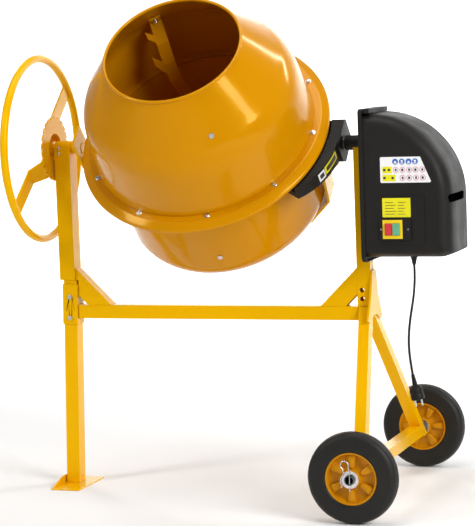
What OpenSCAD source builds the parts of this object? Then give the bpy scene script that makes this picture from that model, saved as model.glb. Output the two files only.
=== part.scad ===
// Tilting drum concrete mixer on a two-wheel stand. Lengths are in millimetres and angles in degrees.
// X runs along the tilt axis toward the motor box, the mouth leans toward -Y, and Z = 0 is the ground.

/* [Stance] */
// Height of the tilt axis above the ground
axis_h = 1000; // [995:1:1005]
// Forward lean of the drum from upright, a whole number of lock notches
drum_lean = 45; // [30:15:60]
// Distance from the drum axis to the centre of each post
post_x = 453; // [450:1:456]

/* [Drum] */
// Outer radius of the lower shell
lower_r = 300; // [296:1:302]
// Outer radius of the upper shell just above the seam
upper_r = 324; // [320:1:326]
// Outer radius of the mouth
mouth_r = 195; // [170:1:200]
// Height of the mouth above the tilt axis, along the drum axis
mouth_s = 388; // [380:1:392]
// Depth of the drum's bottom below the tilt axis
drum_depth = 262; // [250:1:264]
// Wall of both shells
shell_wall = 2.5; // [2:0.5:3]
// Number of bolts round the seam flange
seam_bolts = 10; // [8:1:12]

/* [Drive] */
// Teeth on the drum's ring gear
ring_teeth = 114; // [114:1:114]
// Teeth on the pinion
pinion_teeth = 12; // [12:1:12]
// Radius of the pulley on the pinion shaft
pulley_r = 72; // [66:1:72]
// Radius of the pulley on the motor
motor_pulley_r = 14.4; // [12:0.4:16]

/* [Stand] */
// Side of the square right post and of the crossbar
tube = 40; // [38:1:40]
// Wall of the frame tubes
tube_wall = 2.5; // [2:0.5:3]
// Height of the crossbar's top face
beam_top = 537.6; // [530:0.2:540]
// Outward splay of the left leg
splay = 1.7; // [1:0.1:2]

/* [Handwheel] */
// Radius to the centre of the rim tube
wheel_ring_r = 265.5; // [250:0.5:270]
// Radius of the rim tube
wheel_tube_r = 11.5; // [10:0.5:13]
// Radius of the notched index disc
index_r = 95; // [95:1:95]
// Travel of the handwheel toward the post, into the lock
lock_travel = 6; // [5:0.5:6]

/* [Road wheels] */
// Radius of the tyres
tyre_r = 125; // [120:1:125]
// Width of the tyres
tyre_w = 57; // [50:1:58]
// Distance from the middle of the stand to each wheel's centre
track_half = 392; // [390:1:396]

/* [Motor box] */
// Reach of the motor cover from the drum axis
box_reach = 731; // [725:1:735]
// Bottom of the motor cover
box_z = 683; // [680:1:690]
// Front face of the motor cover, forward of the tilt axis
box_front = 117; // [112:1:120]

/* [Hidden] */
$fn = 64;

// Colours
drum_amber = "#E09A00";
frame_yellow = "#F2B705";
box_black = "#2E2C28";
rubber_black = "#1E1C18";
bare_steel = "#B9BCC0";
dark_steel = "#55585C";

// The row's X = 0 lies midway between the handwheel's outer face and the motor cover's.
wheel_plane = post_x + 73;
drum_x = (wheel_plane + wheel_tube_r - box_reach) / 2;

// Drum stations along its own axis, measured from the tilt axis toward the mouth
flange_s = 64;
flange_r = 366;
flange_lip_s = 45;
gasket_t = 3;
plate_t = 3;
cone_s = 268;
cone_r = 283;
shoulder_s = 200;
shoulder_r = 312;
bottom_corner_r = 75;
seam_bolt_r = 331;
seam_bolt_turn = -3.5;

// Crown gear under the seam and the pinion that drives it
gear_module = 6;
pinion_pitch_r = gear_module * pinion_teeth / 2;
ring_pitch_r = gear_module * ring_teeth / 2;
ring_face = [320, 350];
ring_root_s = pinion_pitch_r + 7.5;
ring_tip_s = pinion_pitch_r - gear_module;
ring_top_s = flange_s - gasket_t - plate_t;

// Yoke
yoke_left = 400;
yoke_right = 380;
yoke_t = 8;
yoke_w = 72;
yoke_low = -304;

// Trunnions and shafts
left_pin_r = 16;
left_end_r = 12.5;
right_pin_r = 17;
shaft_r = 10;
spindle_r = 15;
run_gap = 0.05;
bearing_r = 22;

// Stand
left_tube = [48, 50];
leg_tube_size = [41, 44];
leg_top = 612;
leg_top_x = -446;
leg_frame_x = 32;
axle_x = 512;
axle_r = 14;
axle_end = track_half + 41;
clip_wire_r = 1.75;

// Motor box
tray_x = post_x + 24;
tray_t = 3;
box_back = 87;
dome_x = 497;
dome_z = 850;
belt_x = [492, 504];
motor_z = 788;
motor_x = [520, 690];
button_z = 765;
start_x = 579;
stop_x = 557;
button_travel = 3;

// Route of the cord from the gland to the plug, across the stand (X from the drum axis) and up
cord_r = 3.5;
cord_y = -57;
gland_x = 610.5;
cord_route = [
    [610.5, 660], [610.7, 648], [610.8, 634], [610.5, 620], [609.7, 606], [608.2, 590], [606, 572],
    [603, 554], [599.5, 535], [595.8, 515], [592.8, 495], [590.4, 475], [588.9, 455], [588.5, 436],
    [589.2, 417], [590.8, 398], [593, 380], [595.4, 363], [597, 352]
];
plug_top = [597, 352];
plug_lean = 11;

// ---------------------------------------------------------------- helpers

module on_frame() {
    translate([drum_x, 0, 0]) children();
}

// The drum's own frame: its origin on the tilt axis and its Z along the drum axis toward the mouth
module on_drum() {
    translate([drum_x, 0, axis_h]) rotate([drum_lean, 0, 0]) children();
}

// The splayed leg's frame, with its origin at the leg's top
module on_leg() {
    translate([drum_x + leg_top_x, 0, leg_top]) rotate([0, splay, 0]) children();
}

module block(low, high) {
    translate(low) cube(high - low);
}

module rod_x(r, x0, x1, y = 0, z = axis_h) {
    translate([x0, y, z]) rotate([0, 90, 0]) cylinder(r = r, h = x1 - x0);
}

module pipe_x(r, bore, x0, x1, y = 0, z = axis_h) {
    difference() {
        rod_x(r, x0, x1, y, z);
        rod_x(bore, x0 - 1, x1 + 1, y, z);
    }
}

module rod_y(r, y0, y1, x, z) {
    translate([x, y1, z]) rotate([90, 0, 0]) cylinder(r = r, h = y1 - y0);
}

module pipe(r, bore, z0, z1) {
    translate([0, 0, z0]) difference() {
        cylinder(r = r, h = z1 - z0);
        translate([0, 0, -1]) cylinder(r = bore, h = z1 - z0 + 2);
    }
}

module box_tube(size, wall, z0, z1) {
    translate([0, 0, z0]) difference() {
        translate([-size[0] / 2, -size[1] / 2, 0]) cube([size[0], size[1], z1 - z0]);
        translate([-size[0] / 2 + wall, -size[1] / 2 + wall, -1])
            cube([size[0] - 2 * wall, size[1] - 2 * wall, z1 - z0 + 2]);
    }
}

// Hexagon-headed bolt along Z: the head rests on z = 0 and the shank points down
module hex_bolt(r, length, head_r, head_h) {
    cylinder(r = head_r, h = head_h, $fn = 6);
    translate([0, 0, -length]) cylinder(r = r, h = length);
}

module hex_nut(r, bore, h) {
    difference() {
        cylinder(r = r, h = h, $fn = 6);
        translate([0, 0, -1]) cylinder(r = bore, h = h + 2);
    }
}

function arc(centre, r, from, to, n) =
    [for (i = [0:n]) let (a = from + (to - from) * i / n) centre + r * [cos(a), sin(a)]];

function unit(v) = v / norm(v);
function left_of(v) = [-v[1], v[0]];

// One point of a bent strip's edge, a distance h to the left of the path
function edge_point(path, i, h) =
    let (last = len(path) - 1)
    let (before = unit(path[max(i, 1)] - path[max(i, 1) - 1]))
    let (after = unit(path[min(i, last - 1) + 1] - path[min(i, last - 1)]))
    let (mitre = unit(left_of(before) + left_of(after)))
    path[i] + mitre * h / (mitre * left_of(before));

// Outline of a strip of thickness t bent along a path
function strip(path, t) = concat(
    [for (i = [0:len(path) - 1]) edge_point(path, i, t / 2)],
    [for (i = [len(path) - 1:-1:0]) edge_point(path, i, -t / 2)]
);

// ---------------------------------------------------------------- stand

module left_upper_post() {
    color(frame_yellow) on_frame() difference() {
        union() {
            translate([-post_x, 0, 0]) box_tube(left_tube, tube_wall, leg_top, axis_h + 6);
            block([-post_x - 28, -12, leg_top], [-post_x - 24, 12, leg_top + 30]);
        }
        rod_x(bearing_r, -post_x - 30, -post_x + 30);
    }
}

module left_leg() {
    color(frame_yellow) {
        difference() {
            on_leg() box_tube(leg_tube_size, tube_wall, -leg_top - 10, -0.8);
            on_frame() block([leg_top_x - 60, -40, -40], [leg_top_x + 40, 40, 3.5]);
            leg_bolt_holes();
        }
        difference() {
            on_frame() block([-463.5, -19, 562], [-432, 19, 690]);
            leg_bolt_holes();
        }
    }
}

leg_bolt_z = [-50, -112];

module leg_bolt_holes() {
    on_leg() for (z = leg_bolt_z) rod_y(4.2, -40, 40, 1, z);
}

module foot_plate() {
    color(frame_yellow) on_frame() {
        block([-493, -122, 0], [-404, 75, 3.5]);
        translate([-493, 0, 3.5]) rotate([90, 0, 90]) linear_extrude(3.5)
            polygon([[-118, 0], [75, 0], [75, 22], [-40, 22]]);
    }
}

module crossbar() {
    color(frame_yellow) on_frame() translate([-424.6, 0, beam_top - tube / 2]) rotate([0, 90, 0])
        box_tube([tube, tube], tube_wall, 0, post_x - tube / 2 + 4 + 424.6);
}

// One gusset: a channel laid across the corner, its two flanges open toward the corner
module gusset(corner_x, z0) {
    reach = 110;
    open = 35.5;
    for (y = [19, -16])
        translate([corner_x, y, z0]) rotate([90, 0, 0]) linear_extrude(3)
            polygon([[0, open], [0, reach], [-reach, 0], [-open, 0]]);
    translate([corner_x, 17, z0]) rotate([90, 0, 0]) linear_extrude(34)
        polygon([[-reach, 0], [4.2 - reach, 0], [0, reach - 4.2], [0, reach]]);
}

module gussets() {
    color(frame_yellow) on_frame() {
        gusset(post_x - tube / 2, beam_top);
        mirror([1, 0, 0]) difference() {
            gusset(post_x - 24, beam_top);
            block([post_x - 31.5, -30, beam_top - 1], [post_x, 30, leg_top - 0.5]);
        }
    }
}

module left_bracket() {
    color(frame_yellow) difference() {
        on_leg() box_tube([47, 50], 2.8, -132, -12);
        leg_bolt_holes();
    }
}

module frame_bolts() {
    color(bare_steel) on_leg() for (z = leg_bolt_z) {
        translate([1, -25, z]) rotate([90, 0, 0]) hex_bolt(4, 56, 7.5, 5.5);
        translate([1, 31.5, z]) rotate([90, 0, 0]) hex_nut(7.5, 4, 6.5);
    }
}

// Pair of holes that go right through the foot of the right post
post_holes_x = post_x - 6;
post_holes_z = [559, 584];
post_hole_r = 7;

module right_post() {
    color(frame_yellow) on_frame() difference() {
        translate([post_x, 0, 0]) box_tube([tube, tube], tube_wall, beam_top, axis_h - 12);
        rod_x(bearing_r - 1, post_x - 30, post_x + 30);
        for (z = post_holes_z) rod_y(post_hole_r, -30, 30, post_holes_x, z);
    }
}

module spreader_plate() {
    color(frame_yellow) on_frame() difference() {
        translate([post_x + tube / 2, 0, 0]) rotate([90, 0, 90]) linear_extrude(6)
            polygon([[-20, 640], [20, 640], [38, 570], [76, 502], [52, 494], [18, 512], [-18, 512], [-52, 494],
                [-76, 502], [-38, 570]]);
        wheel_leg_solid(-1);
        wheel_leg_solid(1);
    }
}

// One leg of the wheel stand, from its top at the crossbar down to the axle; side is -1 in front, 1 behind
module wheel_leg_solid(side, inside = 0) {
    top = [post_x, 0, 545];
    foot = [axle_x, side * 320, tyre_r];
    way = top - foot;
    turn_x = -asin(way[1] / norm(way));
    turn_y = atan(way[0] / way[2]);
    translate(foot) rotate([0, turn_y, 0]) rotate([turn_x, 0, 0])
        translate([-leg_frame_x / 2 + inside, -leg_frame_x / 2 + inside, -60])
            cube([leg_frame_x - 2 * inside, leg_frame_x - 2 * inside, norm(way) + 120]);
}

module wheel_leg(side) {
    color(frame_yellow) on_frame() difference() {
        wheel_leg_solid(side);
        wheel_leg_solid(side, tube_wall);
        block([300, -500, beam_top], [600, 500, 800]);
        block([300, min(0, -side * 200), 400], [600, max(0, -side * 200), 800]);
        block([300, -500, -100], [700, 500, tyre_r - 19]);
        rod_y(axle_r, -500, 500, axle_x, tyre_r);
    }
}

module front_wheel_leg() {
    wheel_leg(-1);
}

module rear_wheel_leg() {
    wheel_leg(1);
}

module axle_beam() {
    color(frame_yellow) on_frame() difference() {
        translate([axle_x, 0, tyre_r]) rotate([90, 0, 0]) box_tube([34, 34], tube_wall, -305, 305);
        wheel_leg_solid(-1);
        wheel_leg_solid(1);
    }
}

module wheel_axle() {
    color(dark_steel) on_frame() difference() {
        rod_y(axle_r, -axle_end, axle_end, axle_x, tyre_r);
        for (side = [-1, 1])
            rod_y(axle_r - 3, min(side * axle_end * 1.01, side * 300), max(side * axle_end * 1.01, side * 300),
                axle_x, tyre_r);
        for (side = [-1, 1])
            translate([axle_x, side * (axle_end - 5), 0]) cylinder(r = clip_wire_r + 0.4, h = 300);
    }
}

hub_half = 30;

module wheel_washers() {
    color(bare_steel) on_frame() for (side = [-1, 1], end = [-1, 1])
        translate([axle_x, side * (track_half + end * (hub_half + 2)), tyre_r]) rotate([90, 0, 0])
            pipe(24, axle_r, -1.25, 1.25);
}

// Wire clip: a straight leg through the axle, and a loop that springs round it
module axle_clip() {
    translate([0, 0, -33]) cylinder(r = clip_wire_r, h = 74);
    translate([-13, 0, 33 + 8]) rotate([90, 0, 0]) rotate_extrude() translate([11.5, 0])
        circle(r = clip_wire_r, $fn = 16);
}

module axle_clips() {
    color(bare_steel) on_frame() for (side = [-1, 1])
        translate([axle_x, side * (axle_end - 5), tyre_r]) axle_clip();
}

module left_bearing() {
    color(frame_yellow) on_frame() pipe_x(bearing_r, left_pin_r + run_gap, -post_x - 24, -post_x + 24);
}

module right_bearing() {
    color(box_black) on_frame() pipe_x(bearing_r - 1, right_pin_r + run_gap, post_x - 45, post_x + 23);
}

module lock_tooth() {
    color(frame_yellow) on_frame()
        block([-post_x - 28, -2.6, axis_h - index_r], [-post_x - 24, 2.6, axis_h - index_r + 5.5]);
}

// ---------------------------------------------------------------- motor box

module motor_tray() {
    color(box_black) on_frame() difference() {
        translate([tray_x, 0, 0]) rotate([90, 0, 90]) linear_extrude(tray_t + 9) tray_outline(0);
        translate([tray_x + tray_t, 0, 0]) rotate([90, 0, 90]) linear_extrude(30) tray_outline(3);
        rod_x(14, tray_x - 1, tray_x + 10);
    }
    color(box_black) on_frame() block([tray_x, -box_front + 8, 1084.4], [tray_x + 30, box_back + 4, 1097]);
}

module tray_outline(inset) {
    y0 = -box_front - 3 + inset;
    y1 = box_back + 4 - inset;
    z0 = 672 + inset;
    z1 = 1097 - inset;
    r = 20 - inset;
    tight = 8 - inset;
    top = 12 - inset;
    polygon(concat(
        arc([y0 + r, z0 + r], r, 180, 270, 6),
        arc([y1 - tight, z0 + tight], tight, 270, 360, 4),
        [[y1, z1]],
        arc([y0 + top, z1 - top], top, 90, 180, 4)
    ));
}

module cover_outline(inset) {
    dome_r = box_reach - dome_x;
    polygon(concat(
        [[tray_x + tray_t + 0.1, box_z + inset], [box_reach - 38, box_z + inset],
            [box_reach - inset, box_z + 11 + inset]],
        arc([dome_x, dome_z], dome_r - inset, 0, 90, 16),
        [[tray_x + tray_t + 0.1, dome_z + dome_r - inset]]
    ));
}

// A slice of the cover's outline, between two distances in front of the tilt axis
module cover_slice(inset, y0, y1) {
    translate([0, y1, 0]) rotate([90, 0, 0]) linear_extrude(y1 - y0) cover_outline(inset);
}

edge_round = 18;

module motor_cover() {
    color(box_black) on_frame() difference() {
        hull() {
            cover_slice(edge_round, -box_front, -box_front + 1);
            cover_slice(edge_round * 0.3, -box_front + edge_round * 0.3, -box_front + edge_round * 0.3 + 1);
            cover_slice(0, -box_front + edge_round, box_back);
        }
        translate([-1, 0, 0]) cover_slice(edge_round + 3, -box_front + 3.5, -box_front + edge_round + 4);
        translate([-1, 0, 0]) cover_slice(3.5, -box_front + edge_round + 3.5, box_back - 3.5);
        block([tray_x, -box_front + 3.5, box_z + 3.5], [tray_x + 20, box_back - 3.5, dome_z + 225]);
        block([535.5, -box_front - 5, 738.5], [615.5, -box_front + 10, 789.5]);
        grip_slot();
        rod_gland_hole();
    }
}

module grip_slot() {
    for (y = [-90, 41]) rod_x(11.5, box_reach - 40, box_reach + 5, y, dome_z - 3);
    block([box_reach - 40, -90, dome_z - 14.5], [box_reach + 5, 41, dome_z + 8.5]);
}

module rod_gland_hole() {
    translate([gland_x, cord_y, box_z - 5]) cylinder(r = 7, h = 20);
}

module housing_screws() {
    color(bare_steel) on_frame() {
        for (z = [box_z + 40, dome_z + 190]) rod_y(3, box_back + 4, box_back + 6.5, tray_x + 8, z);
        for (x = [536, 613]) rod_y(2.4, -box_front - 7.4, -box_front - 6, x, button_z);
    }
}

module motor_body() {
    shell_r = 60;
    color(dark_steel) on_frame() {
        difference() {
            union() {
                rod_x(shell_r, motor_x[0], motor_x[1], 0, motor_z);
                for (i = [0:7]) translate([0, 0, motor_z]) rotate([45 * i, 0, 0])
                    block([540, -2.5, shell_r - 2], [670, 2.5, shell_r + 4]);
                block([motor_x[0] - 6, -66, motor_z - 58], [motor_x[0], 66, motor_z + 58]);
            }
            rod_x(46, motor_x[0] + 10, motor_x[1] - 12, 0, motor_z);
            rod_x(6 + run_gap, motor_x[0] - 10, motor_x[1] - 5, 0, motor_z);
        }
        for (y = [-56, 56], z = [-50, 50]) rod_x(5, tray_x + tray_t, motor_x[0] - 6, y, motor_z + z);
    }
}

module run_capacitor() {
    color("#D8D8D4") on_frame() rod_x(17, 530, 600, -70, 880);
}

module belt_outline(grow) {
    hull() {
        translate([0, axis_h]) circle(r = pulley_r + grow, $fn = 64);
        translate([0, motor_z]) circle(r = motor_pulley_r + grow, $fn = 32);
    }
}

module drive_belt() {
    color(rubber_black) on_frame() translate([belt_x[0], 0, 0]) rotate([90, 0, 90])
        linear_extrude(belt_x[1] - belt_x[0]) difference() {
            belt_outline(3.2);
            belt_outline(0.3);
        }
}

module switch_box() {
    color(rubber_black) on_frame() difference() {
        union() {
            block([531, -box_front - 6, 734], [620, -box_front, 794]);
            block([536, -box_front, 739], [615, -78, 789]);
        }
        for (x = [start_x, stop_x])
            block([x - 9.8, -box_front - 7, button_z - 16.8], [x + 9.8, -box_front + 12, button_z + 16.8]);
    }
}

module switch_plate() {
    color("#E8C21A") on_frame() difference() {
        block([541, -box_front - 7, 739], [597, -box_front - 6, 791]);
        for (x = [start_x, stop_x])
            block([x - 9.8, -box_front - 8, button_z - 16.8], [x + 9.8, -box_front - 5, button_z + 16.8]);
    }
}

module cable_gland() {
    color(rubber_black) on_frame() translate([gland_x, cord_y, 0]) {
        translate([0, 0, box_z - 3]) cylinder(r = 10, h = 3);
        translate([0, 0, box_z - 23]) cylinder(r1 = 5, r2 = 8.5, h = 20);
        translate([0, 0, box_z]) cylinder(r = 7, h = 9);
    }
}

// Cross-section of the cord at one point of its route, square to the route there
function cord_ring(i, sides) =
    let (last = len(cord_route) - 1)
    let (way = unit(cord_route[min(i + 1, last)] - cord_route[max(i - 1, 0)]))
    let (across = left_of(way))
    [for (k = [0:sides - 1]) let (a = 360 * k / sides)
        [drum_x + cord_route[i][0] + cord_r * cos(a) * across[0], cord_y + cord_r * sin(a),
            cord_route[i][1] + cord_r * cos(a) * across[1]]];

module power_cord() {
    sides = 10;
    rings = len(cord_route);
    points = [for (i = [0:rings - 1]) each cord_ring(i, sides)];
    walls = [for (i = [0:rings - 2], k = [0:sides - 1]) let (n = (k + 1) % sides)
        [i * sides + k, i * sides + n, (i + 1) * sides + n, (i + 1) * sides + k]];
    caps = [[for (k = [sides - 1:-1:0]) k], [for (k = [0:sides - 1]) (rings - 1) * sides + k]];
    color(rubber_black) polyhedron(points, concat(walls, caps));
}

// The plug's frame: its origin where the cord enters and -Z toward the pins
module on_plug() {
    translate([drum_x + plug_top[0], cord_y, plug_top[1]]) rotate([0, -plug_lean, 0]) children();
}

module mains_plug() {
    color(rubber_black) on_plug() {
        translate([0, 0, -30]) cylinder(r1 = 7.5, r2 = 4.6, h = 30);
        translate([0, 0, -42]) cylinder(r1 = 19, r2 = 9, h = 12);
        translate([0, 0, -72]) cylinder(r = 19, h = 30);
    }
}

module plug_pins() {
    color(bare_steel) on_plug() for (x = [-9.5, 9.5]) translate([x, 0, -91]) cylinder(r = 2.4, h = 19);
}

// ---------------------------------------------------------------- yoke

module yoke_bar() {
    arms = [[-yoke_left, 58], [-yoke_left, -46], [-322, -112], [-314, -215], [-240, yoke_low],
        [240, yoke_low], [314, -215], [322, -112], [yoke_right, -46], [yoke_right, 36]];
    color(frame_yellow) on_drum() difference() {
        translate([0, yoke_w / 2, 0]) rotate([90, 0, 0]) linear_extrude(yoke_w) polygon(strip(arms, yoke_t));
        rod_x(left_pin_r, -yoke_left - 20, -yoke_left + 20, 0, 0);
        rod_x(right_pin_r, yoke_right - 15, yoke_right + 15, 0, 0);
        translate([0, 0, yoke_low - 20]) cylinder(r = spindle_r, h = 40);
    }
}

module left_trunnion() {
    color(bare_steel) on_drum() {
        rod_x(left_pin_r, -post_x - 27, -yoke_left + 6, 0, 0);
        rod_x(left_end_r, -post_x - 72, -post_x - 27, 0, 0);
        pipe_x(26, left_pin_r, -yoke_left - 8, -yoke_left - 4, 0, 0);
    }
}

module right_trunnion() {
    color(bare_steel) on_drum() difference() {
        union() {
            rod_x(right_pin_r, yoke_right - 20, post_x + 22, 0, 0);
            rod_x(25, yoke_right + 4, yoke_right + 6.5, 0, 0);
        }
        rod_x(shaft_r + run_gap, yoke_right - 30, post_x + 30, 0, 0);
    }
}

module drum_spindle() {
    color(bare_steel) on_drum() {
        translate([0, 0, yoke_low - 20]) cylinder(r = spindle_r, h = 53);
        translate([0, 0, yoke_low + 33]) cylinder(r = 19, h = 5);
    }
}

module yoke_nuts() {
    color(bare_steel) on_drum() {
        translate([0, 0, yoke_low - yoke_t / 2 - 14]) hex_nut(23, spindle_r, 14);
        translate([-post_x - 72, 0, 0]) rotate([0, 90, 0]) hex_nut(19, left_end_r, 6);
    }
}

// Spring on the left trunnion that pushes the handwheel toward its lock, drawn compressed
module lock_spring() {
    color(bare_steel) on_drum() for (i = [0:2])
        translate([-post_x - 64.5 + 2.7 * i, 0, 0]) rotate([0, 90, 0]) rotate_extrude() translate([14.5, 0])
            circle(r = 1.4, $fn = 16);
}

guard_r = 400;
guard_wall = 2.5;
guard_start = -34;
guard_top = 42;
guard_low = -14;

// Outer radius of the guard's arc, which narrows away from the pinion
function guard_outer(a) = guard_r - 27 * pow((-4 - a) / 30, 2.5);

// The arc over the ring gear, its underside rising away from the pinion
module guard_arc(shrink) {
    from = guard_start + shrink * 0.4;
    difference() {
        translate([0, 0, guard_low + shrink]) linear_extrude(guard_top - guard_low - 2 * shrink) polygon(concat(
            [for (i = [0:15]) let (a = from + (-4 - from) * i / 15)
                (guard_outer(a) - shrink) * [cos(a), sin(a)]],
            [for (i = [15:-1:0]) let (a = from + (-4 - from) * i / 15) (306 + shrink) * [cos(a), sin(a)]]
        ));
        translate([389, -27, guard_low + shrink]) rotate([0, 0, -114.1]) rotate([0, -4.6, 0])
            block([-60, -200, -80], [320, 200, 0]);
    }
}

// The box over the pinion, with its long edges and one corner cut off
module guard_box(shrink) {
    k = shrink;
    c = shrink * 0.4;
    intersection() {
        translate([308 + k, 0, 0]) rotate([90, 0, 90]) linear_extrude(95 - 2 * k)
            polygon([[-46 + k, -28 + c], [-27 + c, -50 + k], [62 - k, -50 + k], [62 - k, 30 - c],
                [52 - c, 40 - k], [-36 + c, 40 - k], [-46 + k, 30 - c]]);
        translate([0, 0, -60]) linear_extrude(120)
            polygon([[300, -50], [410, -50], [410, 62 - k], [320 + c, 62 - k], [308 + k, 40 - c],
                [300, 40 - c]]);
    }
}

module gear_guard() {
    color(rubber_black) on_drum() difference() {
        union() {
            guard_arc(0);
            guard_box(0);
        }
        guard_arc(guard_wall);
        guard_box(guard_wall);
        // Swept room for the drum's flange, seam and ring gear
        translate([0, 0, 26]) cylinder(r = flange_r + 3, h = 80, $fn = 128);
        rod_x(right_pin_r, 395, 410, 0, 0);
        // Slot for the yoke's arm
        block([yoke_right - 13, -yoke_w / 2 - 1, -60], [yoke_right + 6, yoke_w / 2 + 1, -34]);
    }
}

// ---------------------------------------------------------------- drum

function lower_outline() = concat(
    [[lower_r, ring_top_s]],
    arc([lower_r - bottom_corner_r, bottom_corner_r - drum_depth], bottom_corner_r, 0, -90, 10),
    [[0, -drum_depth], [0, shell_wall - drum_depth]],
    arc([lower_r - bottom_corner_r, bottom_corner_r - drum_depth], bottom_corner_r - shell_wall, -90, 0, 10),
    [[lower_r - shell_wall, ring_top_s + plate_t], [344, ring_top_s + plate_t], [344, ring_top_s]]
);

module lower_shell() {
    color(drum_amber) on_drum() difference() {
        rotate_extrude($fn = 96) polygon(lower_outline());
        seam_holes();
        both_blades() blade_holes();
    }
}

// Points where the upper shell's wall turns, from the flange's lip up to the mouth
upper_path = concat(
    [[flange_r - 1, flange_lip_s], [flange_r - 1, 51], [344, flange_s + 1.5]],
    [[upper_r - 1.2, flange_s + 1.5], [upper_r - 1.2, flange_s + 12]],
    arc([179.5, 188.8], 133.1, 8.5, 44.5, 8),
    [[mouth_r, mouth_s]]
);

module upper_shell() {
    color(drum_amber) on_drum() {
        difference() {
            rotate_extrude($fn = 96) {
                polygon(strip(upper_path, shell_wall));
                polygon([[lower_r - 1, flange_s], [342, flange_s], [342, flange_s + plate_t],
                    [lower_r - 1, flange_s + plate_t]]);
            }
            seam_holes();
            both_blades() blade_holes();
        }
        rotate_extrude($fn = 96) translate([mouth_r + 0.5, mouth_s + 4.6]) circle(r = 4.5, $fn = 24);
    }
}

module flange_gasket() {
    color(rubber_black) on_drum() difference() {
        pipe(343, lower_r + 3, flange_s - gasket_t, flange_s);
        seam_holes();
    }
}

module at_seam_bolts() {
    for (i = [0:seam_bolts - 1]) rotate(seam_bolt_turn + 360 * i / seam_bolts)
        translate([seam_bolt_r, 0, 0]) children();
}

module seam_holes() {
    at_seam_bolts() translate([0, 0, ring_top_s - 9]) cylinder(r = 3.2, h = 40, $fn = 24);
}

module seam_bolts() {
    color(bare_steel) on_drum() at_seam_bolts() translate([0, 0, flange_s + plate_t])
        hex_bolt(3, 13.5, 6, 4);
}

// Half-angles of a crown tooth at its root and its tip, as seen from the drum axis
tooth_half = 0.20 * PI * gear_module;
root_half = (tooth_half + 7.5 * tan(20)) / ring_pitch_r * 180 / PI;
tip_half = (tooth_half - gear_module * tan(20)) / ring_pitch_r * 180 / PI;

// Radial section of the crown gear at an angle where the teeth reach down to s
function crown_section(a, s) = [for (p = [
    [lower_r + 4, ring_top_s], [ring_face[1], ring_top_s], [ring_face[1], s], [ring_face[0], s],
    [ring_face[0], ring_root_s + 0.2], [lower_r + 4, ring_root_s + 0.2]
]) [p[0] * cos(a), p[0] * sin(a), p[1]]];

module ring_gear() {
    pitch = 360 / ring_teeth;
    sections = [for (i = [0:ring_teeth - 1]) each [
        crown_section(i * pitch - root_half, ring_root_s), crown_section(i * pitch - tip_half, ring_tip_s),
        crown_section(i * pitch + tip_half, ring_tip_s), crown_section(i * pitch + root_half, ring_root_s)
    ]];
    count = len(sections);
    faces = [for (i = [0:count - 1], k = [0:5]) let (j = (i + 1) % count, n = (k + 1) % 6)
        [i * 6 + k, i * 6 + n, j * 6 + n, j * 6 + k]];
    color(dark_steel) on_drum() difference() {
        polyhedron([for (section = sections) each section], faces, convexity = 8);
        at_seam_bolts() translate([0, 0, ring_top_s - 9]) cylinder(r = 3.2, h = 40, $fn = 12);
    }
}

// Mixing blades: bent bars that stand off the wall between a fixing near the mouth and one near the bottom.
// Each point is the bar's radius, its height along the drum axis and the angle it stands at.
blade_w = 36;
blade_t = 5;
blade_path = [
    [293, -165, -79], [293, -122, -79], [240, -75, -71], [218, 10, -61], [207, 100, -56.5], [205, 170, -56],
    [222, 235, -57.5], [268.6, 281, -59], [243.1, 315, -59]
];
low_bolt = [300, -145, -79];
high_bolt = [267.2, 291.6, -59];
cone_tilt = 53.1;

// Corners of the bar's section at one point of its path, square to the path seen from the side
function blade_section(i) =
    let (flat = [for (p = blade_path) [p[0], p[1]]], a = blade_path[i][2])
    let (inner = edge_point(flat, i, blade_t / 2), outer = edge_point(flat, i, -blade_t / 2))
    [for (c = [[outer, -1], [outer, 1], [inner, 1], [inner, -1]])
        [c[0][0] * cos(a) - c[1] * blade_w / 2 * sin(a), c[0][0] * sin(a) + c[1] * blade_w / 2 * cos(a), c[0][1]]];

module blade_bar() {
    count = len(blade_path);
    walls = [for (i = [0:count - 2], k = [0:3]) let (n = (k + 1) % 4, a = 4 * i, b = 4 * i + 4)
        each [[a + k, b + k, b + n], [a + k, b + n, a + n]]];
    caps = [[0, 1, 2, 3], [for (k = [3:-1:0]) 4 * (count - 1) + k]];
    polyhedron([for (i = [0:count - 1]) each blade_section(i)], concat(walls, caps), convexity = 6);
}

module both_blades() {
    for (turn = [0, 180]) rotate(turn) children();
}

module at_low_bolt() {
    rotate(low_bolt[2]) translate([low_bolt[0], 0, low_bolt[1]]) rotate([0, 90, 0]) children();
}

module at_high_bolt() {
    rotate(high_bolt[2]) translate([high_bolt[0], 0, high_bolt[1]]) rotate([0, cone_tilt, 0]) children();
}

// Two pointed fins on the blade's edge, one level with its middle and one up its slope
module blade_fins() {
    rotate(-56) translate([202.5, 0, 0]) rotate([90, 0, 90]) linear_extrude(5)
        polygon([[12, 125], [12, 178], [40, 215], [40, 182]]);
    rotate(-57.5) translate([222, 0, 235]) rotate([0, 45, 0]) translate([-2.5, 0, 0]) rotate([90, 0, 90])
        linear_extrude(5) polygon([[12, 2], [12, 28], [34, 48], [34, 26]]);
}

module mixing_blades() {
    color(drum_amber) on_drum() both_blades() difference() {
        union() {
            blade_bar();
            blade_fins();
        }
        blade_holes();
    }
}

module blade_holes() {
    at_low_bolt() translate([0, 0, -20]) cylinder(r = 4.2, h = 30, $fn = 24);
    at_high_bolt() translate([0, 0, -20]) cylinder(r = 4.2, h = 30, $fn = 24);
}

// One fixing bolt: its head outside the wall and its nut inside the blade
module blade_bolt(depth) {
    translate([0, 0, -depth - 6]) cylinder(r = 4, h = depth + 6.3);
    translate([0, 0, 0.3]) cylinder(r = 7, h = 4);
    translate([0, 0, -depth - 5]) cylinder(r = 7, h = 5);
}

module blade_bolts() {
    color(bare_steel) on_drum() both_blades() {
        at_low_bolt() blade_bolt(9.9);
        at_high_bolt() translate([0, 0, 1.3]) blade_bolt(9.4);
    }
}

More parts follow.
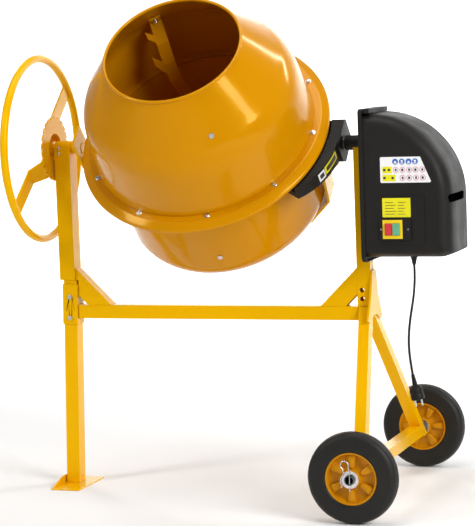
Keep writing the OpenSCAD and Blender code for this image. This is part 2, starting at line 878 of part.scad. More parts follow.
module drum_hub() {
    color(drum_amber) on_drum() difference() {
        union() {
            translate([0, 0, -290]) cylinder(r = 40, h = 290 - drum_depth);
            translate([0, 0, -drum_depth - 5]) cylinder(r = 85, h = 5);
        }
        translate([0, 0, -288]) cylinder(r = 31, h = 288 - drum_depth + 1);
        translate([0, 0, -292]) cylinder(r = 27, h = 10);
    }
}

module hub_bearings() {
    color(bare_steel) on_drum() pipe(31, spindle_r + run_gap, -288, -272);
}

// ---------------------------------------------------------------- drive train

// Involute of a circle of radius base, at roll angle t
function involute(base, t) = base * [cos(t) + t * PI / 180 * sin(t), sin(t) - t * PI / 180 * cos(t)];
function roll_at(base, r) = sqrt(pow(r / base, 2) - 1) * 180 / PI;
function polar(p) = atan2(p[1], p[0]);

// One flank of a pinion tooth, root to tip; side is 1 or -1
function flank(side) =
    let (base = pinion_pitch_r * cos(20), tip = pinion_pitch_r + gear_module - 0.3)
    let (root = pinion_pitch_r - 1.25 * gear_module)
    let (half = 0.24 * 360 / pinion_teeth + polar(involute(base, roll_at(base, pinion_pitch_r))))
    [for (i = [0:6]) let (t = roll_at(base, tip) * i / 6, p = involute(base, t), a = side * (half - polar(p)))
        (i == 0 ? root : norm(p)) * [cos(a), sin(a)]];

module pinion_outline() {
    half_turn = 180 / pinion_teeth;
    polygon([for (k = [0:pinion_teeth - 1]) let (turn = 360 * k / pinion_teeth + half_turn)
        each [for (p = concat(flank(-1), [for (i = [6:-1:0]) flank(1)[i]]))
            [p[0] * cos(turn) - p[1] * sin(turn), p[0] * sin(turn) + p[1] * cos(turn)]]]);
}

module drive_pinion() {
    color(dark_steel) on_drum() translate([ring_face[0] - 3, 0, 0]) rotate([90, 0, 90])
        linear_extrude(ring_face[1] - ring_face[0] + 6) rotate(90) difference() {
            pinion_outline();
            circle(r = (shaft_r + 0.05) / cos(15), $fn = 12);
        }
}

module pinion_shaft() {
    color(bare_steel) on_drum() {
        rod_x(shaft_r, 314, belt_x[1] + 16, 0, 0);
        rod_x(16, 314, 316.8, 0, 0);
    }
}

module pulley(r, lip, bore, x0, x1) {
    rotate([0, 90, 0]) difference() {
        union() {
            translate([0, 0, x0]) cylinder(r = r, h = x1 - x0);
            translate([0, 0, x0 - 2]) cylinder(r = r + lip, h = 1.7);
            translate([0, 0, x1 + 0.3]) cylinder(r = r + lip, h = 1.7);
            translate([0, 0, x0 - 0.5]) cylinder(r = r, h = x1 - x0 + 1);
        }
        translate([0, 0, x0 - 5]) cylinder(r = bore, h = x1 - x0 + 20);
    }
}

module driven_pulley() {
    color(dark_steel) on_drum() difference() {
        pulley(pulley_r, 4, shaft_r, belt_x[0], belt_x[1]);
        for (i = [0:5]) rotate([60 * i, 0, 0]) rod_x(15, belt_x[0] - 5, belt_x[1] + 5, 0, 43);
    }
}

module rotor_shaft() {
    color(bare_steel) on_frame() {
        rod_x(6, belt_x[0] - 3, 684, 0, motor_z);
        rod_x(38, 545, 640, 0, motor_z);
        rod_x(43, 652, 664, 0, motor_z);
    }
}

module motor_pulley() {
    color(dark_steel) on_frame() translate([0, 0, motor_z])
        pulley(motor_pulley_r, 2.6, 6, belt_x[0], belt_x[1]);
}

// ---------------------------------------------------------------- handwheel

module handwheel_ring() {
    color(frame_yellow) on_drum() translate([-wheel_plane, 0, 0]) rotate([0, 90, 0])
        rotate_extrude($fn = 96) translate([wheel_ring_r, 0]) circle(r = wheel_tube_r, $fn = 32);
}

// Angle of the spokes in the drum's frame; they stand 50 degrees behind upright
spoke_turn = 50 + drum_lean;

module handwheel_spokes() {
    path = [[56, 38], [92, 38], [120, 3.5], [wheel_ring_r, 1.5]];
    color(frame_yellow) on_drum() difference() {
        for (turn = [0, 180]) rotate([-spoke_turn + turn, 0, 0]) intersection() {
            translate([-wheel_plane, 40, 0]) rotate([90, 0, 0]) linear_extrude(80)
                polygon([for (p = strip(path, 5)) [p[1] - 2.5, p[0]]]);
            translate([-wheel_plane - 20, 0, 0]) rotate([90, 0, 90]) linear_extrude(80)
                polygon([[-32, 40], [32, 40], [32, 90], [24, 125], [23, 270], [-23, 270], [-24, 125],
                    [-32, 90]]);
        }
        translate([-wheel_plane, 0, 0]) rotate([0, 90, 0])
            rotate_extrude($fn = 96) translate([wheel_ring_r, 0]) circle(r = wheel_tube_r, $fn = 32);
    }
}

// Index disc: a notched rim round a pressed cup that holds the hub sleeve
disc_x = -post_x - 31;
notch_step = 15;

module index_disc() {
    color(frame_yellow) on_drum() {
        difference() {
            union() {
                rod_x(index_r, disc_x - 4, disc_x, 0, 0);
                rod_x(48, disc_x - 21, disc_x - 3, 0, 0);
            }
            rod_x(44.5, disc_x - 17.5, disc_x + 1, 0, 0);
            rod_x(left_end_r + run_gap, disc_x - 30, disc_x, 0, 0);
            for (a = [0:notch_step:359]) rotate([a - drum_lean, 0, 0])
                block([disc_x - 5, -3.6, index_r - 7], [disc_x + 1, 3.6, index_r + 1]);
        }
        pipe_x(22, left_end_r + run_gap, disc_x - 17.5, disc_x - 3, 0, 0);
        for (x = [disc_x - 13, disc_x - 7]) rotate([-drum_lean, 0, 0]) rod_y(2.4, -26, -20, x, 0);
    }
}

// ---------------------------------------------------------------- road wheels

module at_wheel(side) {
    on_frame() translate([axle_x, side * track_half, tyre_r]) rotate([90, 0, 0]) children();
}

rim_r = 71;

module tyre() {
    half = tyre_w / 2;
    color(rubber_black) rotate_extrude($fn = 96) polygon(concat(
        [[rim_r, -half + 5], [rim_r + 7, -half]],
        arc([tyre_r - 21, -half + 21], 21, -90, 0, 7),
        arc([tyre_r - 21, half - 21], 21, 0, 90, 7),
        [[rim_r + 7, half], [rim_r, half - 5]]
    ));
}

module rim() {
    lip = tyre_w / 2 - 5;
    color(drum_amber) {
        rotate_extrude($fn = 72) polygon([[rim_r, -lip], [rim_r, lip], [rim_r - 5, lip], [rim_r - 9, 12],
            [rim_r - 14, 5], [30, 5], [24, hub_half], [axle_r + run_gap, hub_half],
            [axle_r + run_gap, -hub_half], [24, -hub_half], [30, -5], [rim_r - 14, -5], [rim_r - 9, -12],
            [rim_r - 5, -lip]]);
        for (i = [0:5], flip = [0, 180]) rotate([flip, 0, 60 * i]) translate([0, 0, 4]) linear_extrude(13)
            polygon([[29.5, -5], [rim_r - 12, -10], [rim_r - 12, 10], [29.5, 5]]);
    }
}

module front_tyre() {
    at_wheel(-1) tyre();
}

module front_rim() {
    at_wheel(-1) rim();
}

module rear_tyre() {
    at_wheel(1) tyre();
}

module rear_rim() {
    at_wheel(1) rim();
}

// ---------------------------------------------------------------- switch buttons

module button(x) {
    block([x - 9.3, -box_front - 12, button_z - 16.3], [x + 9.3, -box_front + 6, button_z + 16.3]);
}

module start_button() {
    color("#3E8E50") on_frame() button(start_x);
}

module stop_button() {
    color("#C22B2B") on_frame() button(stop_x);
}

left_upper_post();
left_leg();
foot_plate();
crossbar();
gussets();
left_bracket();
frame_bolts();
right_post();
spreader_plate();
front_wheel_leg();
rear_wheel_leg();
axle_beam();
wheel_axle();
wheel_washers();
axle_clips();
left_bearing();
right_bearing();
lock_tooth();
motor_tray();
motor_cover();
housing_screws();
motor_body();
run_capacitor();
drive_belt();
switch_box();
switch_plate();
cable_gland();
power_cord();
mains_plug();
plug_pins();
yoke_bar();
left_trunnion();
right_trunnion();
drum_spindle();
yoke_nuts();
gear_guard();
lock_spring();
lower_shell();
upper_shell();
flange_gasket();
ring_gear();
seam_bolts();
mixing_blades();
blade_bolts();
drum_hub();
hub_bearings();
drive_pinion();
pinion_shaft();
driven_pulley();
rotor_shaft();
motor_pulley();
handwheel_ring();
handwheel_spokes();
index_disc();
front_tyre();
front_rim();
rear_tyre();
rear_rim();
start_button();
stop_button();
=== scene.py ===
import math

import bmesh
import bpy
from mathutils import Matrix, Vector


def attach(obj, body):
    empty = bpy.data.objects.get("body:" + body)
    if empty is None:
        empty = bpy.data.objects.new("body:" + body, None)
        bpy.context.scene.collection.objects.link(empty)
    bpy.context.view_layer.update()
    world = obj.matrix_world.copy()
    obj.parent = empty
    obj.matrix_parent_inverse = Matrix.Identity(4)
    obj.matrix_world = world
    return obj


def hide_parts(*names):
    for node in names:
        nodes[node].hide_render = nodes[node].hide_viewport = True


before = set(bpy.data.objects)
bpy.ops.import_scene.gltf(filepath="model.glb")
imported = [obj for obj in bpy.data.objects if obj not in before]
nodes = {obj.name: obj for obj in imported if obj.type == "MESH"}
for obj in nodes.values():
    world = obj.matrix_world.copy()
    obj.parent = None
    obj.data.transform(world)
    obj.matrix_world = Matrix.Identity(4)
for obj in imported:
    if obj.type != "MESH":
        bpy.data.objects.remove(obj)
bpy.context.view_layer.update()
scene = bpy.context.scene

# ------------------------------------------------------------------ places, in metres
DX = -0.09675  # the drum's axis in the frame; X positions below are from this axis
AXIS_Z = 1.0
LEAN = math.radians(45)
POST_X = -0.463
WHEEL_X, WHEEL_Y, WHEEL_R = 0.512, 0.392, 0.125
COVER_BACK, COVER_FRONT, COVER_LOW = 0.087, -0.117, 0.683
ON_DRUM = Matrix.Translation((DX, 0, AXIS_Z)) @ Matrix.Rotation(LEAN, 4, "X")
TO_FRONT = Matrix.Rotation(math.radians(90), 4, "X")


def at(x, y, z):
    return Matrix.Translation((x, y, z))


# ------------------------------------------------------------------ camera
def aim_camera():
    """A long lens from the front right, a little above the drum's axis and turned by a small roll."""
    place = Vector((1.98882, -5.81623, 1.28875))
    target = Vector((-0.02509, 0.0, 0.65949))
    roll = math.radians(2.101)
    forward = (target - place).normalized()
    right = forward.cross(Vector((0, 0, 1))).normalized()
    up = right.cross(forward)
    x = right * math.cos(roll) - up * math.sin(roll)
    y = right * math.sin(roll) + up * math.cos(roll)
    data = bpy.data.cameras.new("camera")
    data.lens = 146.8
    data.sensor_width = 36
    data.clip_end = 60
    cam = bpy.data.objects.new("camera", data)
    cam.matrix_world = Matrix((
        (x.x, y.x, -forward.x, place.x), (x.y, y.y, -forward.y, place.y),
        (x.z, y.z, -forward.z, place.z), (0, 0, 0, 1)))
    scene.collection.objects.link(cam)
    scene.camera = cam


aim_camera()


# ------------------------------------------------------------------ materials
def new_material(name):
    m = bpy.data.materials.new(name)
    m.use_nodes = True
    tree = m.node_tree
    tree.nodes.clear()
    out = tree.nodes.new("ShaderNodeOutputMaterial")
    shader = tree.nodes.new("ShaderNodeBsdfPrincipled")
    tree.links.new(shader.outputs[0], out.inputs[0])
    return m, tree, shader


def noise(tree, scale, detail, rough=0.5):
    """Noise in the object's own space."""
    coord = tree.nodes.new("ShaderNodeTexCoord")
    n = tree.nodes.new("ShaderNodeTexNoise")
    n.inputs["Scale"].default_value = scale
    n.inputs["Detail"].default_value = detail
    n.inputs["Roughness"].default_value = rough
    tree.links.new(coord.outputs["Object"], n.inputs["Vector"])
    return n.outputs["Fac"]


def ramp(tree, source, low, high):
    """Turns a value into a colour between two (position, colour) stops."""
    r = tree.nodes.new("ShaderNodeValToRGB")
    e = r.color_ramp.elements
    for stop, (position, colour) in zip(e, (low, high)):
        stop.position, stop.color = position, (*colour, 1)
    tree.links.new(source, r.inputs["Fac"])
    return r.outputs["Color"]


def grey(tree, source, low, high):
    return ramp(tree, source, (0.3, (low,) * 3), (0.7, (high,) * 3))


def bump(tree, shader, source, strength, distance=0.0006):
    b = tree.nodes.new("ShaderNodeBump")
    b.inputs["Strength"].default_value = strength
    b.inputs["Distance"].default_value = distance
    tree.links.new(source, b.inputs["Height"])
    tree.links.new(b.outputs["Normal"], shader.inputs["Normal"])


def paint(name, colour, dark, rough, coat, tint, grain=420.0, peel=0.04):
    """Glossy paint with a slight orange peel; tint colours its highlights."""
    m, tree, s = new_material(name)
    tree.links.new(ramp(tree, noise(tree, 5.0, 3), (0.3, dark), (0.7, colour)), s.inputs["Base Color"])
    tree.links.new(grey(tree, noise(tree, 21.0, 5), rough * 0.9, rough * 1.12), s.inputs["Roughness"])
    s.inputs["Specular IOR Level"].default_value = 0.42
    s.inputs["Specular Tint"].default_value = (*tint, 1)
    s.inputs["Coat Weight"].default_value = coat
    s.inputs["Coat Roughness"].default_value = 0.05
    bump(tree, s, noise(tree, grain, 2), peel)
    return m


def metal(name, colour, dark, rough, grain=700.0, strength=0.06):
    m, tree, s = new_material(name)
    patches = ramp(tree, noise(tree, 24.0, 5, 0.6), (0.3, dark), (0.65, colour))
    tree.links.new(patches, s.inputs["Base Color"])
    tree.links.new(grey(tree, noise(tree, 90.0, 4), rough * 0.75, rough * 1.35), s.inputs["Roughness"])
    s.inputs["Metallic"].default_value = 1.0
    bump(tree, s, noise(tree, grain, 3, 0.6), strength, 0.0005)
    return m


def moulded(name, colour, light, rough, grain=900.0, strength=0.12, broad=2.4, shine=0.3):
    """Plastic or rubber with a fine grain and broad, faint patches of two colours."""
    m, tree, s = new_material(name)
    tree.links.new(ramp(tree, noise(tree, broad, 4), (0.32, colour), (0.68, light)), s.inputs["Base Color"])
    tree.links.new(grey(tree, noise(tree, 14.0, 4), rough * 0.85, rough * 1.15), s.inputs["Roughness"])
    s.inputs["Specular IOR Level"].default_value = shine
    bump(tree, s, noise(tree, grain, 4, 0.65), strength)
    return m


M = {
    "frame_paint": paint("frame_paint", (0.86, 0.455, 0.001), (0.84, 0.435, 0.001), 0.2, 0.0, (1, 0.8, 0.06)),
    "drum_paint": paint("drum_paint", (0.61, 0.250, 0.0004), (0.59, 0.240, 0.0004), 0.16, 0.12,
                        (1, 0.66, 0.06), 300.0, 0.03),
    "rim_paint": paint("rim_paint", (0.58, 0.24, 0.003), (0.54, 0.22, 0.003), 0.34, 0.1,
                       (1, 0.7, 0.2), 260.0, 0.06),
    "box_plastic": moulded("box_plastic", (0.0110, 0.0100, 0.0090), (0.0135, 0.0125, 0.011), 0.5, shine=0.2),
    "black_rubber": moulded("black_rubber", (0.009, 0.0085, 0.008), (0.013, 0.012, 0.011), 0.52, 600.0, 0.15),
    "tyre_rubber": moulded("tyre_rubber", (0.0085, 0.008, 0.0065), (0.0125, 0.0115, 0.0095), 0.5,
                           420.0, 0.2, 9.0),
    "zinc_steel": metal("zinc_steel", (0.78, 0.78, 0.77), (0.55, 0.55, 0.55), 0.26),
    "dark_steel": metal("dark_steel", (0.16, 0.16, 0.165), (0.08, 0.08, 0.085), 0.38),
    "cast_gear": metal("cast_gear", (0.17, 0.165, 0.16), (0.09, 0.085, 0.08), 0.48, 260.0, 0.3),
    "motor_alloy": metal("motor_alloy", (0.42, 0.43, 0.44), (0.30, 0.31, 0.32), 0.42, 340.0, 0.15),
    "pale_plastic": moulded("pale_plastic", (0.72, 0.72, 0.69), (0.80, 0.80, 0.78), 0.4, 500.0, 0.05),
    "yellow_plastic": moulded("yellow_plastic", (0.80, 0.56, 0.01), (0.88, 0.63, 0.02), 0.38, 700.0, 0.05),
    "green_plastic": moulded("green_plastic", (0.10, 0.34, 0.20), (0.14, 0.42, 0.26), 0.26,
                             300.0, 0.03, 20.0),
    "red_plastic": moulded("red_plastic", (0.52, 0.03, 0.04), (0.64, 0.05, 0.06), 0.26, 300.0, 0.03, 20.0),
    "label_white": moulded("label_white", (0.80, 0.80, 0.82), (0.86, 0.86, 0.88), 0.34, 300.0, 0.02),
    "label_blue": moulded("label_blue", (0.02, 0.10, 0.42), (0.04, 0.15, 0.52), 0.34, 300.0, 0.02),
    "label_pink": moulded("label_pink", (0.55, 0.16, 0.24), (0.68, 0.26, 0.34), 0.34, 300.0, 0.02),
    "label_yellow": moulded("label_yellow", (0.72, 0.66, 0.01), (0.80, 0.74, 0.02), 0.34, 300.0, 0.02),
    "label_ink": moulded("label_ink", (0.03, 0.03, 0.03), (0.05, 0.05, 0.05), 0.4, 300.0, 0.02),
}


def new_mesh(name, verts, faces, matrix=None):
    """A mesh with its faces turned outward."""
    me = bpy.data.meshes.new(name)
    me.from_pydata([tuple(v) for v in verts], [], faces)
    if matrix is not None:
        me.transform(matrix)
    bm = bmesh.new()
    bm.from_mesh(me)
    bmesh.ops.recalc_face_normals(bm, faces=bm.faces)
    bm.to_mesh(me)
    bm.free()
    return me


def shade(me, angle):
    """Smooth shading, with sharp edges past an angle; 0 keeps every edge smooth."""
    for p in me.polygons:
        p.use_smooth = True
    if angle:
        me.set_sharp_from_angle(angle=math.radians(angle))


def make(name, verts, faces, material, body, matrix=None, smooth=35, bevel=None):
    """A visual piece that rides a body, with the given material."""
    me = new_mesh(name, verts, faces, matrix)
    shade(me, smooth)
    me.materials.append(M[material])
    ob = bpy.data.objects.new(name, me)
    scene.collection.objects.link(ob)
    if bevel:
        b = ob.modifiers.new("bevel", "BEVEL")
        b.width, b.segments, b.limit_method, b.angle_limit = bevel, 2, "ANGLE", math.radians(32)
        b.harden_normals = True
    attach(ob, body)
    return ob


def revolve(profile, steps):
    """Closed profile of (radius, height) turned about Z; returns verts and faces."""
    verts, faces = [], []
    n = len(profile)
    for i in range(steps):
        a = 2 * math.pi * i / steps
        for r, z in profile:
            verts.append((r * math.cos(a), r * math.sin(a), z))
    for i in range(steps):
        j = (i + 1) % steps
        for k in range(n):
            m = (k + 1) % n
            faces.append((i * n + k, j * n + k, j * n + m, i * n + m))
    return verts, faces


def join(parts):
    """One list of verts and faces from (verts, faces, matrix) parts; a matrix may be None."""
    verts, faces = [], []
    for v, f, matrix in parts:
        base = len(verts)
        verts += [tuple(matrix @ Vector(p)) for p in v] if matrix is not None else [tuple(p) for p in v]
        faces += [tuple(base + k for k in face) for face in f]
    return verts, faces


def arc(cx, cy, r, a0, a1, n):
    """n + 1 points on a circle from angle a0 to a1, in degrees."""
    return [(cx + r * math.cos(math.radians(a0 + (a1 - a0) * i / n)),
             cy + r * math.sin(math.radians(a0 + (a1 - a0) * i / n))) for i in range(n + 1)]


def prism(outline, z0, z1):
    n = len(outline)
    verts = [(x, y, z0) for x, y in outline] + [(x, y, z1) for x, y in outline]
    faces = [tuple(range(n - 1, -1, -1)), tuple(range(n, 2 * n))]
    faces += [(i, (i + 1) % n, n + (i + 1) % n, n + i) for i in range(n)]
    return verts, faces


def box_shape(a, b):
    return prism([(a[0], a[1]), (b[0], a[1]), (b[0], b[1]), (a[0], b[1])], a[2], b[2])


def thick(path, t):
    """Outline of a wall of thickness t along an open path in the plane."""
    left, right = [], []
    for i, p in enumerate(path):
        a = Vector(path[max(i - 1, 0)])
        b = Vector(path[min(i + 1, len(path) - 1)])
        d = (b - a).normalized()
        n = Vector((-d.y, d.x)) * t / 2
        left.append((p[0] + n.x, p[1] + n.y))
        right.append((p[0] - n.x, p[1] - n.y))
    return left + right[::-1]


def smooth_path(points, rounds, steps):
    """Replaces each inner corner of a path by an arc-like curve that starts rounds[i] away from it."""
    out = [points[0]]
    for i in range(1, len(points) - 1):
        p, q, r = (Vector(points[k]) for k in (i - 1, i, i + 1))
        cut = rounds[i - 1]
        if not cut:
            out.append(tuple(q))
            continue
        a = q + (p - q).normalized() * min(cut, (p - q).length * 0.49)
        b = q + (r - q).normalized() * min(cut, (r - q).length * 0.49)
        for k in range(steps + 1):
            t = k / steps
            out.append(tuple(a * (1 - t) ** 2 + q * 2 * t * (1 - t) + b * t * t))
    out.append(points[-1])
    return out


def tube(points, r, sides=12, closed=False):
    """A round bar along 3-D points."""
    pts = [Vector(p) for p in points]
    n = len(pts)
    verts, faces = [], []
    normal = None
    for i in range(n):
        a = pts[(i - 1) % n] if closed else pts[max(i - 1, 0)]
        b = pts[(i + 1) % n] if closed else pts[min(i + 1, n - 1)]
        d = (b - a).normalized()
        if normal is None:
            normal = d.orthogonal().normalized()
        normal = (normal - d * normal.dot(d)).normalized()
        side = d.cross(normal)
        for k in range(sides):
            t = 2 * math.pi * k / sides
            verts.append(pts[i] + normal * r * math.cos(t) + side * r * math.sin(t))
    loops = n if closed else n - 1
    for i in range(loops):
        j = (i + 1) % n
        for k in range(sides):
            m = (k + 1) % sides
            faces.append((i * sides + k, i * sides + m, j * sides + m, j * sides + k))
    if not closed:
        faces.append(tuple(range(sides - 1, -1, -1)))
        faces.append(tuple((n - 1) * sides + k for k in range(sides)))
    return verts, faces


def hex_head(r, h, washer):
    """Hexagon head with a domed top on a washer of radius washer, standing on z = 0."""
    base = 0.0013
    ring = [(0.0005, 0), (washer, 0), (washer, 0.0009), (washer - 0.0004, base), (0.0005, base)]
    parts = [(*revolve(ring, 32), None)]
    n = 24
    verts = []
    levels = [(1.0, 0.0), (1.0, h * 0.78), (0.93, h * 0.93), (0.72, h)]
    for scale, z in levels:
        for k in range(n):
            a = 2 * math.pi * k / n
            flat = r * math.cos(math.pi / 6) / math.cos((a % (math.pi / 3)) - math.pi / 6)
            rad = min(flat, r * 0.99) * scale if scale < 1 else min(flat, r * 0.985)
            verts.append((rad * math.cos(a), rad * math.sin(a), base + z))
    last = (len(levels) - 1) * n
    faces = [tuple(range(n - 1, -1, -1)), tuple(range(last, last + n))]
    for i in range(len(levels) - 1):
        for k in range(n):
            m = (k + 1) % n
            faces.append((i * n + k, i * n + m, (i + 1) * n + m, (i + 1) * n + k))
    parts.append((verts, faces, None))
    return join(parts)


def dome_head(r, h, washer):
    """Round screw head on a washer of radius washer, standing on z = 0."""
    core, under = 0.0002, 0.0012
    profile = [(core, 0), (r, 0), (r, h * 0.25)]
    for a in range(15, 90, 15):
        profile.append((r * math.cos(math.radians(a)), h * 0.25 + h * 0.75 * math.sin(math.radians(a))))
    profile.append((core, h))
    ring = [(core, 0), (washer, 0), (washer, under), (core, under)]
    return join([(*revolve(profile, 24), at(0, 0, under)), (*revolve(ring, 28), None)])


def boolean(ob, verts, faces):
    """Cuts a closed shape out of an object and applies the cut."""
    cutter = bpy.data.objects.new("cutter", new_mesh("cutter", verts, faces))
    scene.collection.objects.link(cutter)
    mod = ob.modifiers.new("cut", "BOOLEAN")
    mod.operation, mod.object, mod.solver = "DIFFERENCE", cutter, "EXACT"
    apply_modifier(ob, mod)
    bpy.data.objects.remove(cutter)
    shade(ob.data, 30)


def apply_modifier(ob, mod):
    graph = bpy.context.evaluated_depsgraph_get()
    me = bpy.data.meshes.new_from_object(ob.evaluated_get(graph))
    ob.modifiers.remove(mod)
    ob.data = me


# ------------------------------------------------------------------ cord and plug
# X from the drum's axis and Z, in millimetres
ROUTE = [
    (610.5, 660), (610.7, 648), (610.8, 634), (610.5, 620), (609.7, 606), (608.2, 590), (606, 572),
    (603, 554), (599.5, 535), (595.8, 515), (592.8, 495), (590.4, 475), (588.9, 455), (588.5, 436),
    (589.2, 417), (590.8, 398), (593, 380), (595.4, 363), (597, 352)]
CORD_Y = -0.057
CORD_PATH = [(x / 1000 + DX, CORD_Y, z / 1000) for x, z in ROUTE]
CORD_R = 0.0035
PLUG = at(*CORD_PATH[-1]) @ Matrix.Rotation(math.radians(-11), 4, "Y")


def make_cord():
    flex = make("cord_flex", *tube(CORD_PATH, CORD_R, 16), "black_rubber", "stand", None, 60)
    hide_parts("power_cord")
    ribs = [(0.0046, 0.0), (0.0046, -0.002)]
    for i in range(6):
        z = -0.003 - i * 0.0042
        r = 0.0050 + i * 0.00042
        ribs += [(r, z), (r + 0.0002, z - 0.0024), (r - 0.0007, z - 0.0028), (r - 0.0006, z - 0.0038)]
    profile = [(0.0002, 0.0)] + ribs + [
        (0.0078, -0.030), (0.0100, -0.0315), (0.0140, -0.0345), (0.0172, -0.0388), (0.0187, -0.0430),
        (0.0190, -0.0460), (0.0190, -0.0520), (0.0183, -0.0530), (0.0183, -0.0560), (0.0190, -0.0570),
        (0.0190, -0.0690), (0.0184, -0.0714), (0.0172, -0.0720), (0.0002, -0.0720)]
    plug = make("plug_body", *revolve(profile, 56), "box_plastic", "stand", PLUG, 40)
    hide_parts("mains_plug")
    pins = []
    for x in (-0.0095, 0.0095):
        pins.append((*revolve([(0.0002, 0.0), (0.0024, 0.0), (0.0024, -0.0172), (0.0018, -0.0188),
                               (0.0002, -0.019)], 20), at(x, 0, -0.072)))
    pin = make("plug_contacts", *join(pins), "zinc_steel", "stand", PLUG, 40)
    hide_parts("plug_pins")
    profile = [(0.0002, -0.023), (0.0045, -0.023), (0.0050, -0.0215), (0.0056, -0.018), (0.0062, -0.0172),
               (0.0064, -0.0135), (0.0071, -0.0128), (0.0073, -0.0088), (0.0080, -0.0082), (0.0084, -0.0035),
               (0.0098, -0.003), (0.0100, -0.0022), (0.0100, -0.0002), (0.0070, 0.0), (0.0070, 0.009),
               (0.0002, 0.009)]
    place = at(CORD_PATH[0][0], CORD_Y, COVER_LOW)
    gland = make("gland_sleeve", *revolve(profile, 40), "black_rubber", "stand", place, 45)
    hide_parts("cable_gland")


make_cord()


# ------------------------------------------------------------------ carried-over CAD nodes
def dress(node, material, bevel):
    ob = nodes[node]
    if not ob.data.materials:
        ob.data.materials.append(None)
    for s in ob.material_slots:
        s.link = "OBJECT"
        s.material = M[material]
    weld = ob.modifiers.new("weld", "WELD")
    weld.merge_threshold = 0.00002
    if bevel:
        b = ob.modifiers.new("bevel", "BEVEL")
        b.width, b.segments, b.limit_method, b.angle_limit = bevel, 3, "ANGLE", math.radians(40)
        b.use_clamp_overlap = True
        b.harden_normals = True


TUBE_EDGE = 0.0022
for node, material, bevel in (
        ("left_upper_post", "frame_paint", 0.002), ("left_leg", "frame_paint", TUBE_EDGE),
        ("foot_plate", "frame_paint", 0.0009), ("crossbar", "frame_paint", TUBE_EDGE),
        ("gussets", "frame_paint", 0.0008), ("left_bracket", "frame_paint", 0.002),
        ("right_post", "frame_paint", TUBE_EDGE), ("spreader_plate", "frame_paint", 0.0008),
        ("front_wheel_leg", "frame_paint", TUBE_EDGE), ("rear_wheel_leg", "frame_paint", TUBE_EDGE),
        ("axle_beam", "frame_paint", TUBE_EDGE), ("wheel_axle", "dark_steel", None),
        ("left_bearing", "frame_paint", 0.0008), ("right_bearing", "box_plastic", 0.0008),
        ("lock_tooth", "frame_paint", 0.0005), ("motor_tray", "box_plastic", 0.001),
        ("motor_body", "motor_alloy", None), ("run_capacitor", "pale_plastic", 0.0008),
        ("drive_belt", "black_rubber", None), ("yoke_bar", "frame_paint", 0.0012),
        ("left_trunnion", "frame_paint", 0.0006), ("right_trunnion", "dark_steel", 0.0006),
        ("drum_spindle", "zinc_steel", 0.0006), ("yoke_nuts", "zinc_steel", 0.0008),
        ("lock_spring", "zinc_steel", None), ("flange_gasket", "black_rubber", None),
        ("ring_gear", "cast_gear", None), ("mixing_blades", "drum_paint", 0.0012),
        ("blade_bolts", "zinc_steel", 0.0006), ("drum_hub", "drum_paint", 0.001),
        ("hub_bearings", "zinc_steel", 0.0005), ("drive_pinion", "cast_gear", None),
        ("pinion_shaft", "zinc_steel", 0.0006), ("driven_pulley", "dark_steel", 0.0005),
        ("rotor_shaft", "zinc_steel", None), ("motor_pulley", "dark_steel", 0.0004),
        ("handwheel_spokes", "frame_paint", 0.001), ("index_disc", "frame_paint", 0.0006),
        ("housing_screws", "zinc_steel", 0.0004), ("frame_bolts", "zinc_steel", 0.0006),
        ("wheel_washers", "zinc_steel", 0.0003), ("gear_guard", "box_plastic", 0.0016),
        ("switch_box", "box_plastic", 0.0012), ("switch_plate", "yellow_plastic", None),
        ("start_button", "green_plastic", 0.0022), ("stop_button", "red_plastic", 0.0022)):
    dress(node, material, bevel)


# ------------------------------------------------------------------ drum
def drum_shells():
    """The two shells and the bolts of their seam; heights are from the tilt axis, along the drum's axis."""
    flange, wall, steps = 0.064, 0.0025, 180
    mouth, bead, bead_z = 0.1955, 0.0045, 0.3926
    upper = smooth_path(
        [(0.365, 0.045), (0.365, 0.0515), (0.344, 0.0655), (0.3228, 0.0655), (0.3228, 0.076),
         (0.3112, 0.2085), (0.3035, 0.236), (0.2895, 0.263), (0.2744, 0.2821), (mouth, 0.3880)],
        [0.004, 0.006, 0.0, 0.003, 0.03, 0.016, 0.016, 0.014], 5)
    inner_flange = [(0.299, flange), (0.342, flange), (0.342, flange + 0.003), (0.299, flange + 0.003)]
    rolled_edge = arc(mouth, bead_z, bead, 0, 337.5, 15)
    parts = [(*revolve(outline, steps), None) for outline in (thick(upper, wall), inner_flange, rolled_edge)]
    shell = make("drum_upper", *join(parts), "drum_paint", "drum", ON_DRUM, 40)
    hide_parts("upper_shell")
    depth, corner, middle = 0.262, 0.075, 0.2987
    floor = wall / 2 - depth
    lower = [(0.344, flange - 0.0045), (middle, flange - 0.0045), (middle, 0.02), (middle, -0.08)]
    lower += arc(0.225, corner - depth, corner - wall / 2, 0, -90, 16) + [(0.1, floor), (0.0003, floor)]
    shell = make("drum_lower", *revolve(thick(lower, wall), steps), "drum_paint", "drum", ON_DRUM, 40)
    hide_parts("lower_shell")
    bolts = []
    count, first, circle = 10, -3.5, 0.331
    for i in range(count):
        a = math.radians(first + 360 / count * i)
        turn = Matrix.Rotation(a, 4, "Z") @ at(circle, 0, flange + 0.003)
        bolts.append((*hex_head(0.0062, 0.0045, 0.0085), turn @ Matrix.Rotation(i * 0.7, 4, "Z")))
        bolts.append((*revolve([(0.0002, 0), (0.003, 0), (0.003, -0.0135), (0.0002, -0.0135)], 16), turn))
    b = make("seam_bolt_heads", *join(bolts), "zinc_steel", "drum", ON_DRUM, 30)
    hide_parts("seam_bolts")


drum_shells()


# ------------------------------------------------------------------ guard sticker and bearing screws
def guard_outer(a):
    """Radius of the guard's outer wall at an angle in degrees; it draws in towards the low end."""
    return 0.400 - 0.027 * ((-4 - a) / 30) ** 2.5


